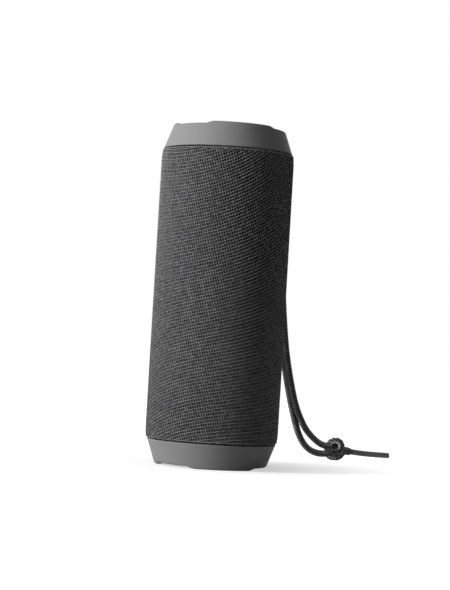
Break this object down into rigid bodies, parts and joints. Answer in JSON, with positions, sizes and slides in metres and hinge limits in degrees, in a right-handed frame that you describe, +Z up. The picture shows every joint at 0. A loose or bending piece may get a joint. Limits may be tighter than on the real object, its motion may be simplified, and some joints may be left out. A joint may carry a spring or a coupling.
{
  "type": "shower speaker",
  "caption": "Upright cylindrical splash-proof portable speaker in woven fabric with tapered end caps, a rear control spine and a knotted hanging cord.",
  "frame": {"origin": "centre of the bottom rim, on the surface that the speaker stands on", "axes": "+Z up along the cylinder, -Y toward the front where the drivers face, +Y toward the back where the control spine and the hanging cord are"},
  "size_m": [0.077, 0.2299, 0.198],
  "materials": {
    "woven_fabric": "woven, charcoal",
    "cap_plastic": "satin grey",
    "housing_plastic": "moulded, dark",
    "spine_rubber": "soft-touch matte",
    "button_rubber": "soft-touch matte",
    "gasket_rubber": "matte",
    "cord_braid": "braided, black with grey flecks",
    "cord_core": "twisted bundle, heat-sealed end",
    "steel": "plain",
    "basket_steel": "pressed, black",
    "motor_steel": "zinc plated",
    "cone_metal": "satin",
    "coil_copper": "enamelled wire",
    "spider_cloth": "impregnated cloth",
    "roll_rubber": "matte",
    "frame_plastic": "moulded, dark",
    "radiator_metal": "satin, dark grey",
    "weight_steel": "plain",
    "light_lens": "frosted light pipe",
    "circuit_board": "green solder mask",
    "chip_plastic": "moulded, black",
    "socket_metal": "stamped",
    "cell_wrap": "shrink wrap",
    "lead_rubber": "insulated wire"
  },
  "bodies": {
    "housing": {"fabric_sleeve": "woven_fabric", "upper_end_cap": "cap_plastic", "lower_end_cap": "cap_plastic", "grille_cage": "housing_plastic", "front_shell": "housing_plastic", "rear_shell": "housing_plastic", "battery_holder": "housing_plastic", "control_spine": "spine_rubber", "shell_seal": "gasket_rubber", "radiator_seals": "gasket_rubber", "strap_bight": "cord_braid", "strap_left_leg": "cord_braid", "strap_right_leg": "cord_braid", "strap_knot": "cord_braid", "strap_tail": "cord_core", "case_screws": "steel", "driver_screws": "steel", "radiator_screws": "steel", "cord_bar": "steel", "flap_pin": "steel", "lower_driver_basket": "basket_steel", "upper_driver_basket": "basket_steel", "lower_driver_yoke": "motor_steel", "upper_driver_yoke": "motor_steel", "lower_driver_magnet": "motor_steel", "upper_driver_magnet": "motor_steel", "lower_driver_spider": "spider_cloth", "upper_driver_spider": "spider_cloth", "lower_driver_surround": "roll_rubber", "upper_driver_surround": "roll_rubber", "upper_radiator_surround": "roll_rubber", "lower_radiator_surround": "roll_rubber", "upper_radiator_frame": "frame_plastic", "lower_radiator_frame": "frame_plastic", "status_light": "light_lens", "button_board": "circuit_board", "port_board": "circuit_board", "main_board": "circuit_board", "board_chips": "chip_plastic", "tact_switches": "chip_plastic", "aux_socket": "chip_plastic", "usb_socket": "socket_metal", "battery_cells": "cell_wrap", "internal_leads": "lead_rubber"},
    "lower_cone": {"lower_driver_cone": "cone_metal", "lower_driver_coil": "coil_copper", "lower_driver_dust_cap": "cone_metal"},
    "upper_cone": {"upper_driver_cone": "cone_metal", "upper_driver_coil": "coil_copper", "upper_driver_dust_cap": "cone_metal"},
    "upper_radiator": {"upper_radiator_plate": "radiator_metal", "upper_radiator_weight": "weight_steel"},
    "lower_radiator": {"lower_radiator_plate": "radiator_metal", "lower_radiator_weight": "weight_steel"},
    "flap": {"port_flap": "spine_rubber"},
    "power_key": {"power_button": "button_rubber"},
    "pairing_key": {"pairing_button": "button_rubber"},
    "volume_down_key": {"volume_down_button": "button_rubber"},
    "play_key": {"play_button": "button_rubber"},
    "volume_up_key": {"volume_up_button": "button_rubber"}
  },
  "joints": [
    {"name": "lower_cone_slide", "type": "slide", "parent": "housing", "child": "lower_cone", "axis": [0, -1, 0], "range_m": [-0.002, 0.002], "stiffness_N_per_m": 1000, "deforming": ["lower_driver_surround", "lower_driver_spider"]},
    {"name": "upper_cone_slide", "type": "slide", "parent": "housing", "child": "upper_cone", "axis": [0, -1, 0], "range_m": [-0.002, 0.002], "stiffness_N_per_m": 1000, "deforming": ["upper_driver_surround", "upper_driver_spider"]},
    {"name": "lower_radiator_slide", "type": "slide", "parent": "housing", "child": "lower_radiator", "axis": [0, 0, 1], "range_m": [-0.003, 0.003], "stiffness_N_per_m": 500, "deforming": ["lower_radiator_surround"]},
    {"name": "upper_radiator_slide", "type": "slide", "parent": "housing", "child": "upper_radiator", "axis": [0, 0, 1], "range_m": [-0.003, 0.003], "stiffness_N_per_m": 500, "deforming": ["upper_radiator_surround"]},
    {"name": "power_press", "type": "slide", "parent": "housing", "child": "power_key", "axis": [0, -1, 0], "range_m": [0, 0.0007], "stiffness_N_per_m": 1500, "springref_m": -0.0002},
    {"name": "pairing_press", "type": "slide", "parent": "housing", "child": "pairing_key", "axis": [0, -1, 0], "range_m": [0, 0.0007], "stiffness_N_per_m": 1500, "springref_m": -0.0002},
    {"name": "volume_down_press", "type": "slide", "parent": "housing", "child": "volume_down_key", "axis": [0, -1, 0], "range_m": [0, 0.0007], "stiffness_N_per_m": 1500, "springref_m": -0.0002},
    {"name": "play_press", "type": "slide", "parent": "housing", "child": "play_key", "axis": [0, -1, 0], "range_m": [0, 0.0007], "stiffness_N_per_m": 1500, "springref_m": -0.0002},
    {"name": "volume_up_press", "type": "slide", "parent": "housing", "child": "volume_up_key", "axis": [0, -1, 0], "range_m": [0, 0.0007], "stiffness_N_per_m": 1500, "springref_m": -0.0002},
    {"name": "port_flap_hinge", "type": "hinge", "parent": "housing", "child": "flap", "pos_m": [0, 0.0366, 0.04755], "axis": [1, 0, 0], "range_deg": [0, 100]}
  ]
}
